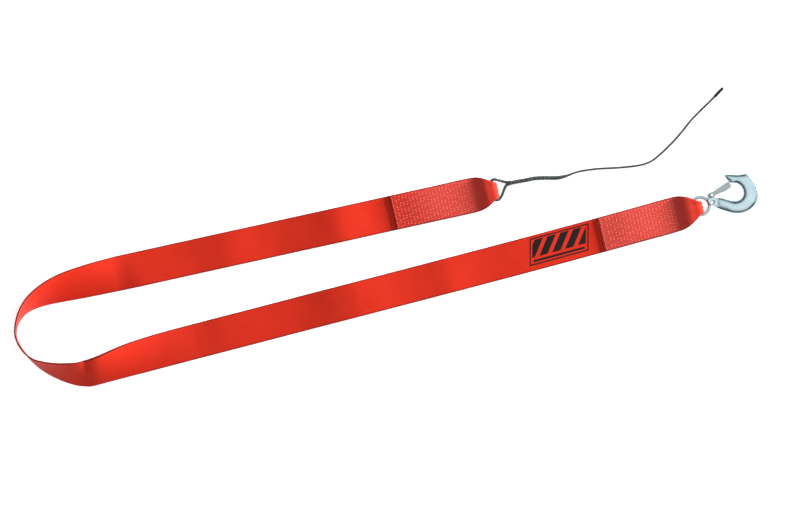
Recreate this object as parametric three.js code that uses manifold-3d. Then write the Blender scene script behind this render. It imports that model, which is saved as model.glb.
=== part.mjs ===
// Snow plow lift strap: red polyester webbing with a sewn eye at each end. One eye holds a forged
// slip hook with a sprung latch, the other holds a short length of rope for the winch drum.
// Millimetres, +Z up. The strap lies on the floor in a narrow U, both ends towards +X.
import * as THREE from 'three'
import { mergeVertices } from 'three/addons/utils/BufferGeometryUtils.js'
import Module from 'manifold-3d'

const wasm = await Module()
wasm.setup()

// Webbing
const strapWidth = 50
const strapThickness = 2.4
const layerGap = 0.3
const eyeThickness = 3.4
const longestStep = 14

// Sewn end at the drum
const drumTipX = 178.4
const drumLapLength = 154
const drumEyeLength = 34
const drumEyeHeight = 12
const drumCrownWidth = 27
const drumTipWidth = 22
const drumTaper = 1.8
const drumEyeRise = 0.7

// Sewn end at the hook
const hookTipX = 457.8
const hookLapLength = 151
const hookEyeLength = 40
const hookEyeHeight = 12.7
const hookCrownWidth = 21.5
const hookTipWidth = 15.4
const hookTaper = 2
const hookEyeRise = 0.58

// Hook
const ringTube = 4.9
const ringHole = 21.2
const tipToRingCentre = 3.6
const ringSideways = 1.8
const hookAngle = 4.6
const bodyThickness = 12.4
const bodyRounding = 2.8
const neckThickness = 7
const bossThickness = 4.8
const bossRadius = 4.2
const dimpleRadius = 2
const dimpleDepth = 1
const bowlCentre = [57.5, 1.5]
const bowlRadius = 30

// Latch, its rivet and its spring
const pivot = [18.6, 9.6]
const latchAngle = 15
const latchLength = 33
const latchSheet = 1
const latchInside = 7.7
const latchEar = 4.2
const rivetRadius = 1.6
const rivetHeadRadius = 2.9
const rivetHeadHeight = 0.8
const fitGap = 0.3
const springWire = 0.9
const springStart = 38
const springWrap = 290

// Rope
const ropeDiameter = 3
const spliceDiameter = 5.8
const sleeveDiameter = 4.6
const sleeveLength = 18
const sleeveWall = 0.5

// The centre line of each run as [x, y, lift of the underside], hand chosen. Fold marks from its
// packing lift the strap in low ridges, and it touches the floor between them.
const upperRun = [
  [140, 57.3, 0], [80, 58.2, 0], [24, 59.1, 0], [5, 59.4, 0.1], [-10, 59.6, 1], [-30, 59.9, 3.2],
  [-46, 60.1, 4.8], [-56, 60.3, 5.2], [-66, 60.4, 4.7], [-82, 60.7, 3.4], [-100, 61, 2.1],
  [-125, 61.4, 0.8], [-150, 61.8, 0.1], [-172, 62.1, 0.5], [-195, 62.5, 1.7], [-212, 62.8, 2.4],
  [-224, 63, 2.4], [-242, 63.3, 1.6], [-265, 63.6, 0.8], [-290, 64, 0.9], [-315, 64.4, 1.7],
  [-350, 64.9, 2.9],
]
const lowerRun = [
  [-250, -53.6, 0.8], [-200, -52.6, 0.3], [-160, -51.7, 0.2], [-140, -51.2, 0.6], [-115, -50.6, 2.1],
  [-95, -50.2, 3.9], [-80, -49.9, 5], [-66, -49.6, 5.7], [-55, -49.4, 5.8], [-42, -49.1, 5.2],
  [-25, -48.8, 4.1], [0, -48.2, 2.4], [25, -47.7, 1.6], [50, -47.1, 1.8], [66, -46.7, 2.4],
  [80, -46.4, 2.6], [92, -46.2, 2.1], [110, -45.8, 1], [135, -45.2, 0.1], [200, -43.5, 0.5],
  [250, -42, 0.3], [285, -40.9, 0], [300, -40.4, 0], [350, -38.6, 0],
]

// The turn as [x, y, heading of the outer side, roll], in degrees: the roll goes from lying
// face up, through standing on one edge, to lying on the other face. The crease is a sharp
// fold across the webbing.
const turnToCrease = [
  [-380, 65.4, 89.4, 7], [-425, 65.2, 91.5, 23], [-462, 63.7, 96, 38], [-486, 59.8, 108, 52],
  [-506, 53.4, 123, 65], [-522.5, 43.6, 140, 78], [-535, 28.6, 160, 87], [-540.2, 12, 178, 90],
  [-536.6, -7, 195, 90], [-526.2, -25, 212, 93], [-511.4, -38.6, 230, 104], [-491.2, -51, 243, 117],
  [-467.6, -60.6, 253, 131], [-454.5, -63.3, 267.7, 139.5],
]
const turnFromCrease = [
  [-454.5, -63.3, 267.7, 139.5], [-438, -61.9, 268.3, 140.5], [-425, -60.8, 269, 144.5],
  [-397.5, -58.5, 270.5, 156], [-370, -57, 271, 166], [-335, -55.6, 271.3, 175], [-290, -54.5, 271.3, 180],
]

// The rope's route: through the drum eye, back on itself at the splice, then out to its tip
const ropeEye = [
  [193, 62.2, 3], [187, 66.4, 3.8], [181.5, 70, 5], [176, 72.3, 5.8], [171, 70.4, 6], [168.6, 64.5, 6],
  [168.2, 56.7, 6], [168.6, 49, 6], [171, 43.6, 6], [176, 42.4, 5.6], [181.5, 46.6, 4.8], [186.8, 54, 3.8],
  [193, 61.8, 3],
]
const ropeSplice = [
  [190.4, 61.6, 2.95], [205, 61.6, 2.95], [220, 60.9, 2.95], [233, 60.4, 2.95], [248, 57.6, 2.95],
  [265, 53.7, 2.95], [276.5, 53.2, 2.95], [290, 55.2, 2.95],
]
const ropeTail = [
  [284, 54.4, 2.4], [299, 55.2, 1.9], [313.4, 54.2, 1.55], [328, 52.2, 1.55], [356, 47.2, 1.55],
  [378, 44.4, 1.55], [391.8, 44, 1.55], [402, 45.8, 1.55], [414.7, 51.4, 1.55], [428, 59, 1.55],
  [441.3, 67.4, 1.55], [456, 78.2, 1.55], [470, 89, 1.55], [486.4, 99.6, 1.55], [500, 107.6, 1.9],
  [510.4, 114.2, 2.35], [525, 123.8, 2.35],
]

const webbingRed = new THREE.Color('#d7321f')
const zincPlate = new THREE.Color('#b4ccd2')
const latchSteel = new THREE.Color('#9aa3a6')
const ropeBlack = new THREE.Color('#25292a')

const degrees = Math.PI / 180
const group = new THREE.Group()

function metal(color, roughness) {
  return new THREE.MeshStandardMaterial({ color, roughness, metalness: 1 })
}

function textile(color, roughness) {
  return new THREE.MeshStandardMaterial({ color, roughness, metalness: 0 })
}

function addPiece(parent, name, geometry, material) {
  const mesh = new THREE.Mesh(geometry, material)
  mesh.name = name
  parent.add(mesh)
  return mesh
}

function toSolid(geometry) {
  const bare = geometry.clone()
  bare.deleteAttribute('normal')
  bare.deleteAttribute('uv')
  const welded = mergeVertices(bare, 1e-4)
  return new wasm.Manifold(new wasm.Mesh({
    numProp: 3,
    vertProperties: new Float32Array(welded.attributes.position.array),
    triVerts: new Uint32Array(welded.index.array),
  }))
}

function toGeometry(solid) {
  const mesh = solid.getMesh()
  const geometry = new THREE.BufferGeometry()
  geometry.setAttribute('position', new THREE.BufferAttribute(new Float32Array(mesh.vertProperties), 3))
  geometry.setIndex(new THREE.BufferAttribute(new Uint32Array(mesh.triVerts), 1))
  geometry.computeVertexNormals()
  return geometry
}

// One station of the webbing: its two edges and its thickness
function station(centre, across, width, thickness) {
  const half = across.clone().multiplyScalar(width / 2)
  return { left: centre.clone().add(half), right: centre.clone().sub(half), thickness }
}

function lyingStation([x, y, lift]) {
  const centre = new THREE.Vector3(x, y, lift + strapThickness / 2)
  return station(centre, new THREE.Vector3(0, 1, 0), strapWidth, strapThickness)
}

function turningStation([x, y, heading, roll]) {
  const tilt = roll * degrees
  const rise = Math.abs(Math.sin(tilt))
  const height = rise * strapWidth / 2 + Math.abs(Math.cos(tilt)) * strapThickness / 2
  const across = new THREE.Vector3(
    Math.cos(heading * degrees) * Math.cos(tilt),
    Math.sin(heading * degrees) * Math.cos(tilt),
    rise,
  )
  return station(new THREE.Vector3(x, y, height), across, strapWidth, strapThickness)
}

// A sewn end from its cut end, over the top of the lap, round the eye's tip and back under
function lapStations({ tipX, lapLength, eyeLength, eyeHeight, crownWidth, tipWidth, taper, eyeRise, lineY }) {
  const across = new THREE.Vector3(0, 1, 0)
  const cutX = tipX - lapLength
  const eyeX = tipX - eyeLength
  const crownX = tipX - eyeHeight / 2
  const bendRadius = (eyeHeight - eyeThickness) / 2
  const lapZ = strapThickness * 1.5 + layerGap
  const at = (x, z, width, thickness) =>
    station(new THREE.Vector3(x, lineY(x), z), across, width, thickness)
  const swell = f => THREE.MathUtils.lerp(strapThickness, eyeThickness, f)
  const widthAt = f => THREE.MathUtils.lerp(strapWidth, crownWidth, f ** taper)
  const eyeSteps = [0.2, 0.4, 0.6, 0.8, 1]
  const over = eyeSteps.map(f => {
    const rise = THREE.MathUtils.smoothstep(f, 0, eyeRise)
    const z = THREE.MathUtils.lerp(lapZ, eyeHeight - eyeThickness / 2, rise)
    return at(THREE.MathUtils.lerp(eyeX, crownX, f), z, widthAt(f), swell(f))
  })
  const round = [60, 30, 0, -30, -60].map(angle => {
    const a = angle * degrees
    const width = THREE.MathUtils.lerp(crownWidth, tipWidth, Math.cos(a))
    return at(crownX + bendRadius * Math.cos(a), eyeHeight / 2 + bendRadius * Math.sin(a), width, eyeThickness)
  })
  const under = eyeSteps.map(f =>
    at(THREE.MathUtils.lerp(eyeX, crownX, f), swell(f) / 2, widthAt(f), swell(f))).reverse()
  return [
    at(cutX, lapZ, strapWidth, strapThickness),
    at((cutX + eyeX) / 2, lapZ, strapWidth, strapThickness),
    at(eyeX, lapZ, strapWidth, strapThickness),
    ...over,
    ...round,
    ...under,
  ]
}

// The floor stops the webbing: a sample that the curve would carry below it is raised
function keepAboveFloor(left, right, thickness) {
  const across = left.clone().sub(right)
  const flatness = Math.hypot(across.x, across.y) / across.length()
  const lowest = Math.min(left.z, right.z) - flatness * thickness / 2
  if (lowest < 0) {
    left.z -= lowest
    right.z -= lowest
  }
  return { left, right, thickness }
}

// Points between the stations, close enough for smooth bends
function sampleStations(stations) {
  const left = new THREE.CatmullRomCurve3(stations.map(s => s.left))
  const right = new THREE.CatmullRomCurve3(stations.map(s => s.right))
  const last = stations.length - 1
  const samples = []
  for (let i = 0; i < last; i++) {
    const reach = Math.max(
      stations[i].left.distanceTo(stations[i + 1].left),
      stations[i].right.distanceTo(stations[i + 1].right),
    )
    const pieces = Math.max(1, Math.ceil(reach / longestStep))
    for (let k = 0; k < pieces; k++) {
      const t = (i + k / pieces) / last
      const thickness = THREE.MathUtils.lerp(stations[i].thickness, stations[i + 1].thickness, k / pieces)
      samples.push(keepAboveFloor(left.getPoint(t), right.getPoint(t), thickness))
    }
  }
  return samples
}

// A flat box, bent so that each of its cross-sections lies on one sample
function bendStrip(samples) {
  const last = samples.length - 1
  const geometry = new THREE.BoxGeometry(last, 2, 2, last, 2, 1)
  const position = geometry.attributes.position
  const centres = samples.map(s => s.left.clone().add(s.right).multiplyScalar(0.5))
  const point = new THREE.Vector3()
  for (let i = 0; i < position.count; i++) {
    point.fromBufferAttribute(position, i)
    const index = Math.round(point.x + last / 2)
    const { left, right, thickness } = samples[index]
    const along = centres[Math.min(index + 1, last)].clone().sub(centres[Math.max(index - 1, 0)])
    const across = left.clone().sub(right)
    const through = along.cross(across).setLength(thickness / 2)
    const place = centres[index].clone()
    place.addScaledVector(across, point.y / 2)
    place.addScaledVector(through, point.z)
    position.setXYZ(i, place.x, place.y, place.z)
  }
  geometry.computeVertexNormals()
  return geometry
}

function lineBetween(a, b) {
  return x => THREE.MathUtils.mapLinear(x, a[0], b[0], a[1], b[1])
}

const drumLap = lapStations({
  tipX: drumTipX,
  lapLength: drumLapLength,
  eyeLength: drumEyeLength,
  eyeHeight: drumEyeHeight,
  crownWidth: drumCrownWidth,
  tipWidth: drumTipWidth,
  taper: drumTaper,
  eyeRise: drumEyeRise,
  lineY: lineBetween(upperRun[0], upperRun[2]),
})
const hookLineY = lineBetween(lowerRun.at(-2), lowerRun.at(-1))
const hookEndY = hookLineY(hookTipX - hookEyeLength)
const hookLap = lapStations({
  tipX: hookTipX,
  lapLength: hookLapLength,
  eyeLength: hookEyeLength,
  eyeHeight: hookEyeHeight,
  crownWidth: hookCrownWidth,
  tipWidth: hookTipWidth,
  taper: hookTaper,
  eyeRise: hookEyeRise,
  lineY: x => Math.min(hookLineY(x), hookEndY + (hookLineY(x) - hookEndY) * 0.9),
}).reverse()

const webbingSamples = [
  ...sampleStations([...drumLap, ...upperRun.map(lyingStation), ...turnToCrease.map(turningStation)]),
  ...sampleStations([...turnFromCrease.map(turningStation), ...lowerRun.map(lyingStation), ...hookLap]),
]
webbingSamples.push({ ...hookLap.at(-1) })
addPiece(group, 'webbing', bendStrip(webbingSamples), textile(webbingRed, 0.85))

// The hook lies flat: its middle plane is level, and the eye's ring passes through the webbing's eye
const ringRadius = (ringHole + ringTube) / 2
const tipY = hookLineY(hookTipX)
const ringCentre = [hookTipX - tipToRingCentre, tipY + ringSideways]
const hook = new THREE.Group()
hook.position.set(ringCentre[0], ringCentre[1], bodyThickness / 2)
hook.rotation.z = hookAngle * degrees
group.add(hook)

// A plate of this outline with rounded edges, centred on the hook's middle plane
function roundedPlate(outline, thickness, rounding, rings) {
  const geometry = new THREE.ExtrudeGeometry(outline, {
    depth: thickness - 2 * rounding,
    bevelEnabled: true,
    bevelThickness: rounding,
    bevelSize: rounding,
    bevelOffset: -rounding,
    bevelSegments: rings,
    curveSegments: 14,
    steps: 1,
  })
  return geometry.translate(0, 0, rounding - thickness / 2)
}

function flatPlate(outline, from, to, curveSegments = 14) {
  const geometry = new THREE.ExtrudeGeometry(outline, {
    depth: to - from,
    bevelEnabled: false,
    curveSegments,
    steps: 1,
  })
  return geometry.translate(0, 0, from)
}

function disc(x, y, radius) {
  return new THREE.Shape().absarc(x, y, radius, 0, 2 * Math.PI)
}

function smoothRun(points, spans) {
  return new THREE.SplineCurve(points.map(p => new THREE.Vector2(...p))).getPoints(spans)
}

function hookOutline() {
  const bowl = new THREE.EllipseCurve(...bowlCentre, bowlRadius, bowlRadius, -105 * degrees, 50 * degrees)
  const back = [new THREE.Vector2(21.4, -9.6), ...smoothRun([[27, -14.4], [33.3, -19], [42, -24.8]], 3)]
  const arm = smoothRun([[70.5, 25.2], [64, 26.6], [55, 29.8], [45.4, 32]], 6)
  const inside = smoothRun([
    [49.4, 21.2], [53, 17.6], [59, 15.6], [64, 9.8], [65.4, 2.5], [63.4, -4.6], [58.2, -8.6],
    [51.5, -9.2], [43, -5.2], [35.6, -0.2], [29.6, 2.8], [24, 3.8],
  ], 16)
  return new THREE.Shape([...back, ...bowl.getPoints(14), ...arm, ...inside])
}

function neckOutline() {
  const points = [[12, 5.4], [12.9, -2.6], [18, -3.4], [24, -6], [26, 0], [23.4, 6], [21, 8], [15.4, 8]]
  return new THREE.Shape(points.map(p => new THREE.Vector2(...p)))
}

// The forging is thin round the rivet, so that the latch's cheeks and spring fit beside it
function latchSeat(from, to) {
  return flatPlate(disc(...pivot, latchEar + 2 * fitGap), from, to)
}

const pivotHole = flatPlate(disc(...pivot, rivetRadius + fitGap), -bodyThickness, bodyThickness, 10)
const dimple = flatPlate(disc(19.8, -0.2, dimpleRadius), neckThickness / 2 - dimpleDepth, bodyThickness, 8)
const hookSolid = toSolid(new THREE.TorusGeometry(ringRadius, ringTube / 2, 12, 40))
  .add(toSolid(roundedPlate(hookOutline(), bodyThickness, bodyRounding, 3)))
  .add(toSolid(roundedPlate(neckOutline(), neckThickness, 1, 1)))
  .add(toSolid(flatPlate(disc(...pivot, bossRadius), -bossThickness / 2, bossThickness / 2)))
  .subtract(toSolid(latchSeat(bossThickness / 2, bodyThickness)))
  .subtract(toSolid(latchSeat(-bodyThickness, -bossThickness / 2)))
  .subtract(toSolid(pivotHole))
  .subtract(toSolid(dimple))
addPiece(hook, 'hook_body', toGeometry(hookSolid), metal(zincPlate, 0.35))

// The latch is a folded sheet channel: two cheeks over the neck's boss, joined along the outer side
const latch = new THREE.Group()
latch.position.set(pivot[0], pivot[1], 0)
latch.rotation.z = latchAngle * degrees
hook.add(latch)

const latchOuter = 2.7
const latchWebStart = bossRadius + 1.4
function cheekOutline() {
  const cheek = new THREE.Shape()
  cheek.absarc(0, 0, latchEar, 130 * degrees, 285 * degrees, false)
  cheek.lineTo(latchLength * 0.36, -4.1)
  cheek.lineTo(latchLength * 0.62, -6.1)
  cheek.lineTo(latchLength * 0.96, -5.6)
  cheek.lineTo(latchLength, latchOuter - 2)
  cheek.lineTo(latchLength - 1.4, latchOuter)
  cheek.lineTo(latchWebStart, latchOuter)
  cheek.lineTo(2, latchEar - 0.4)
  cheek.closePath()
  return cheek
}

function latchWebOutline() {
  const web = new THREE.Shape()
  web.moveTo(latchWebStart, latchOuter - latchSheet)
  web.lineTo(latchLength - 1.6, latchOuter - latchSheet)
  web.lineTo(latchLength - 1.4, latchOuter)
  web.lineTo(latchWebStart, latchOuter)
  web.closePath()
  return web
}

const cheekInner = latchInside / 2
const cheekOuter = cheekInner + latchSheet
const rivetHole = flatPlate(disc(0, 0, rivetRadius + fitGap), -bodyThickness, bodyThickness, 10)
const latchSolid = toSolid(flatPlate(cheekOutline(), cheekInner, cheekOuter))
  .add(toSolid(flatPlate(cheekOutline(), -cheekOuter, -cheekInner)))
  .add(toSolid(flatPlate(latchWebOutline(), -cheekOuter, cheekOuter)))
  .subtract(toSolid(rivetHole))
addPiece(latch, 'latch', toGeometry(latchSolid), metal(latchSteel, 0.45))

// The rivet: a plain shank with a low head outside each cheek
function rivetGeometry() {
  const headStart = cheekOuter + fitGap
  const headEnd = headStart + rivetHeadHeight
  const profile = [
    [0, -headEnd], [rivetHeadRadius * 0.75, -headEnd], [rivetHeadRadius, -headStart],
    [rivetRadius, -headStart], [rivetRadius, headStart], [rivetHeadRadius, headStart],
    [rivetHeadRadius * 0.75, headEnd], [0, headEnd],
  ]
  return new THREE.LatheGeometry(profile.map(p => new THREE.Vector2(...p)), 20).rotateX(Math.PI / 2)
}
const rivet = addPiece(hook, 'latch_rivet', rivetGeometry(), metal(latchSteel, 0.4))
rivet.position.set(pivot[0], pivot[1], 0)

// A round tube along a list of points, its first and last faces flat
function tubeAlong(points, radius, sides, steps) {
  const section = new THREE.Shape()
  for (let i = 0; i < sides; i++) {
    const a = (i + 0.5) / sides * 2 * Math.PI
    const x = radius * Math.cos(a)
    const y = radius * Math.sin(a)
    if (i === 0) section.moveTo(x, y)
    else section.lineTo(x, y)
  }
  section.closePath()
  const route = new THREE.CatmullRomCurve3(points.map(p => new THREE.Vector3(...p)))
  return new THREE.ExtrudeGeometry(section, { steps, bevelEnabled: false, extrudePath: route })
}

// One turn of wire beside the boss, with its arm under the latch's web
function springPoints() {
  const coilRadius = rivetRadius + fitGap + springWire
  const coilZ = (bossThickness / 2 + cheekInner) / 2
  const pitch = 0.05
  const points = []
  const turnSteps = 14
  for (let i = 0; i < turnSteps; i++) {
    const a = (springStart + i / turnSteps * springWrap) * degrees
    points.push([coilRadius * Math.cos(a), coilRadius * Math.sin(a), coilZ + pitch * i / turnSteps])
  }
  return points
}
const springArm = [
  [latchLength * 0.5, latchOuter - latchSheet - springWire, (bossThickness / 2 + cheekInner) / 2],
  [latchLength * 0.3, latchOuter - latchSheet - springWire, (bossThickness / 2 + cheekInner) / 2],
]
addPiece(latch, 'latch_spring', tubeAlong([...springArm, ...springPoints()], springWire / 2, 8, 44),
  metal(latchSteel, 0.5))

// The rope is one piece: an eye through the strap, spliced back into itself, and a single tail
const ropeSolid = toSolid(tubeAlong(ropeEye, ropeDiameter / 2, 8, 34))
  .add(toSolid(tubeAlong(ropeSplice, spliceDiameter / 2, 10, 14)))
  .add(toSolid(tubeAlong(ropeTail, ropeDiameter / 2, 8, 40)))
addPiece(group, 'rope', toGeometry(ropeSolid), textile(ropeBlack, 0.8))

// The sleeve shrunk over the rope's tip, open where the rope goes in
const tipStart = new THREE.Vector3(...ropeTail.at(-2))
const tipEnd = new THREE.Vector3(...ropeTail.at(-1))
const tipAlong = tipEnd.clone().sub(tipStart).normalize()
function sleeveGeometry() {
  const outer = sleeveDiameter / 2
  const bore = ropeDiameter / 2 + fitGap
  const profile = [
    [0, fitGap], [bore, fitGap], [bore, fitGap - sleeveLength], [outer, fitGap - sleeveLength],
    [outer, fitGap * 0.5], [outer * 0.7, sleeveWall + fitGap], [0, sleeveWall + fitGap],
  ]
  return new THREE.LatheGeometry(profile.map(p => new THREE.Vector2(...p)), 12)
}
const sleeve = addPiece(group, 'tip_sleeve', sleeveGeometry(), textile(ropeBlack, 0.5))
sleeve.position.copy(tipEnd)
sleeve.quaternion.setFromUnitVectors(new THREE.Vector3(0, 1, 0), tipAlong)

export default group
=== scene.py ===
# %% [markdown]
# # A lift strap for a snow plow
#
# The object is a 50 mm webbing strap that lies in a narrow U on a white floor. One end is sewn into
# an eye that holds a forged slip hook, the other into an eye that holds a short rope for the winch
# drum. The CAD model gives every place in metres, so each piece here is made where it stays.

# %% Load the frame
import math
import bmesh
import bpy
import numpy as np
from mathutils import Matrix, Vector, noise


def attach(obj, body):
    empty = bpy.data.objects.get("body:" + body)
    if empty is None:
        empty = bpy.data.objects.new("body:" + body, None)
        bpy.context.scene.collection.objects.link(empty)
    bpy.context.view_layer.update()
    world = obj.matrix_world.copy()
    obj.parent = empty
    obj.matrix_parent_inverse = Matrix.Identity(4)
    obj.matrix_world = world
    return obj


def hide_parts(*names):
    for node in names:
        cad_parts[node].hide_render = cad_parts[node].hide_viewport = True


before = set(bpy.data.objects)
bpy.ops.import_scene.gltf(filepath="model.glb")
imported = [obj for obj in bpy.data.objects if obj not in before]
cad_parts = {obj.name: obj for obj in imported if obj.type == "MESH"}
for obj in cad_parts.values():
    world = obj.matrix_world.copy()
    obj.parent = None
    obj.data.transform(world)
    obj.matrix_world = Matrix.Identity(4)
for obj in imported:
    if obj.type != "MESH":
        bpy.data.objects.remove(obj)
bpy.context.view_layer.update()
MM = 0.001

# %% [markdown]
# ## Camera
#
# The photograph looks straight down from far away, turned a little so that the strap runs slightly
# uphill. A long lens does the same: with a short one, the part of the turn that stands up on its edge
# would lean outwards.

# %% Camera
PICTURE_WIDTH = 1.144
PICTURE_CENTRE = (0.0199, -0.0047)
PICTURE_TURN = math.radians(-13.35)
LENS, SENSOR = 700, 36

camera = bpy.data.objects.new("camera", bpy.data.cameras.new("camera"))
camera.data.lens = LENS
camera.data.sensor_width = SENSOR
camera.data.clip_end = 60
camera.location = (*PICTURE_CENTRE, PICTURE_WIDTH * LENS / SENSOR)
camera.rotation_euler = (0, 0, PICTURE_TURN)
bpy.context.scene.collection.objects.link(camera)
bpy.context.scene.camera = camera
print("camera height:", round(camera.location.z, 2), "m")

# %% [markdown]
# ## Smooth routes
#
# The strap and the rope both follow listed points. A centripetal Catmull-Rom curve passes through
# each of them without overshooting in the tight bends, and it is the curve that the CAD model used,
# so the visible pieces lie exactly where their solids do.


# %% A curve through points
def glide(points, position):
    """The point at position, where 0 is the first point, 1 the second and so on."""
    i = min(int(position), len(points) - 2)
    part = position - i
    before = points[i - 1] if i > 0 else 2 * points[0] - points[1]
    a, b = points[i], points[i + 1]
    after = points[i + 2] if i + 2 < len(points) else 2 * points[-1] - points[-2]
    reach_before, reach, reach_after = (
        max((q - p).length ** 0.5, 1e-9) for p, q in ((before, a), (a, b), (b, after)))
    leave = ((a - before) / reach_before - (b - before) / (reach_before + reach) + (b - a) / reach) * reach
    arrive = ((b - a) / reach - (after - a) / (reach + reach_after) + (after - b) / reach_after) * reach
    return (a + leave * part + (3 * (b - a) - 2 * leave - arrive) * part ** 2
            + (2 * (a - b) + leave + arrive) * part ** 3)


def to_metres(points):
    return [Vector(p) * MM for p in points]


print("a route can now be followed")

# %% [markdown]
# ## Materials toolkit
#
# A material here is a small graph of nodes. One function adds a node with its settings and links, and
# another turns the sRGB colours that a screen shows into the linear values that a shader needs.


# %% Colours and nodes
def colour(hex_code):
    values = [int(hex_code[i:i + 2], 16) / 255 for i in (1, 3, 5)]
    return [v / 12.92 if v <= 0.04045 else ((v + 0.055) / 1.055) ** 2.4 for v in values] + [1]


def plug_in(tree, node, inputs):
    """Gives each input a plain value, or links it to a socket or to a node's first output."""
    for name, value in inputs.items():
        if isinstance(value, bpy.types.Node):
            value = next(output for output in value.outputs if output.enabled)
        if isinstance(value, bpy.types.NodeSocket):
            tree.links.new(value, node.inputs[name])
        else:
            node.inputs[name].default_value = value
    return node


def add_node(tree, kind, inputs=None, **settings):
    node = tree.nodes.new(kind)
    for name, value in settings.items():
        setattr(node, name, value)
    return plug_in(tree, node, inputs or {})


def new_material(name, base, roughness, metallic=0):
    material = bpy.data.materials.new(name)
    material.use_nodes = True
    shader = material.node_tree.nodes["Principled BSDF"]
    shader.inputs["Base Color"].default_value = colour(base)
    shader.inputs["Roughness"].default_value = roughness
    shader.inputs["Metallic"].default_value = metallic
    return material, material.node_tree, shader


print("colours: sRGB #808080 is linear", round(colour("#808080")[0], 3))


# %% A finished piece
def to_object(bm, name, material, body, smooth=True):
    """Turns a bmesh into an object that rides on a body and holds its material."""
    mesh = bpy.data.meshes.new(name)
    for face in bm.faces:
        face.smooth = smooth
    bm.to_mesh(mesh)
    bm.free()
    mesh.materials.append(material)
    piece = bpy.data.objects.new(name, mesh)
    bpy.context.scene.collection.objects.link(piece)
    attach(piece, body)
    print(name, "has", len(mesh.vertices), "vertices and", len(mesh.polygons), "faces")
    return piece


# %% [markdown]
# ## The rope's route
#
# The rope goes through the drum eye and back on itself, is spliced there, and runs out as a single
# tail to its tip. All of it shows in the photograph but the bit inside the eye. The route is one
# line: in from the splice, round the eye, and out again.

# %% The rope's route
ROPE_DIAMETER = 3 * MM
ROPE_RADIUS = ROPE_DIAMETER / 2
LOOP_RADIUS = 2.1 * MM
SPLICE_RADIUS = 2.9 * MM
ROPE_ROUTE = to_metres([
    (199, 63.4, 3.3), (193, 64.2, 3.4), (187, 67, 3.8), (181.5, 70, 5), (176, 72.3, 5.8), (171, 70.4, 6),
    (168.6, 64.5, 6), (168.2, 56.7, 6), (168.6, 49, 6), (171, 43.6, 6), (176, 42.4, 5.6),
    (181.5, 46.6, 4.8), (186.8, 54, 3.8), (192, 60, 3.1), (199, 61.8, 2.95),
    (208, 61.6, 2.95), (220, 60.9, 2.95), (233, 60.4, 2.95), (248, 57.6, 2.95), (265, 53.7, 2.95),
    (276.5, 53.2, 2.9), (290, 54.8, 2.4), (299, 55.2, 1.9), (313.4, 54.2, 1.55), (328, 52.2, 1.55),
    (356, 47.2, 1.55), (378, 44.4, 1.55), (391.8, 44, 1.55), (402, 45.8, 1.55), (414.7, 51.4, 1.55),
    (428, 59, 1.55), (441.3, 67.4, 1.55), (456, 78.2, 1.55), (470, 89, 1.55), (486.4, 99.6, 1.55),
    (500, 107.6, 1.9), (510.4, 114.2, 2.35), (525, 123.8, 2.35)])
# The places in that list between which the rope is spliced
SPLICE_START = 14
SPLICE_END = 20
ROPE_STEP = 0.5 * MM


def walk(points, step):
    """Points on the curve about one step apart, each with its place in the list of points."""
    places = []
    for i in range(len(points) - 1):
        pieces = max(1, round((points[i + 1] - points[i]).length / step))
        places += [i + k / pieces for k in range(pieces)]
    places.append(len(points) - 1)
    return [glide(points, place) for place in places], places


rope_line, rope_places = walk(ROPE_ROUTE, ROPE_STEP)

# %% [markdown]
# ## Braided rope
#
# The real rope is a braid of thin dark fibre strands, black with a touch of green. Two families of
# strands wind round it in opposite directions and pass over and under each other. The tube is a
# cylinder cut into rings, and each ring is bent onto the route. The strands' relief is real geometry,
# so it also shows from close by.


# %% Rope material
def braid_material():
    # Polyester rope yarn: matt, with a soft shine along the fibres.
    material, tree, shader = new_material("braided polyester rope", "#25292a", 0.72)
    uv = add_node(tree, "ShaderNodeUVMap", uv_map="along_rope")
    grain = add_node(tree, "ShaderNodeTexNoise", {"Vector": uv, "Scale": 2200, "Detail": 2})
    patches = add_node(tree, "ShaderNodeTexNoise", {"Vector": uv, "Scale": 90, "Detail": 2})
    tone = add_node(tree, "ShaderNodeMath", {0: grain, 1: patches}, operation="MULTIPLY")
    spread = add_node(tree, "ShaderNodeMapRange", {0: tone, 1: 0.12, 2: 0.42, 3: 0, 4: 1})
    base_colour = add_node(tree, "ShaderNodeMix", {0: spread, 6: colour("#0d1011"), 7: colour("#3f4746")},
                    data_type="RGBA")
    bump = add_node(tree, "ShaderNodeBump", {"Height": grain, "Distance": 0.1 * MM, "Strength": 0.5})
    plug_in(tree, shader, {"Sheen Weight": 0.25, "Base Color": base_colour, "Normal": bump})
    return material


rope_finish = braid_material()
print("made", rope_finish.name)


# %% Bend a tube along a line
def steady_frames(line):
    """Two directions across the line at each point, carried along without twisting."""
    side = Vector((0, 0, 1))
    frames = []
    for i in range(len(line)):
        along = (line[min(i + 1, len(line) - 1)] - line[max(i - 1, 0)]).normalized()
        side = (side - along * side.dot(along)).normalized()
        frames.append((side, along.cross(side)))
    return frames


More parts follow.
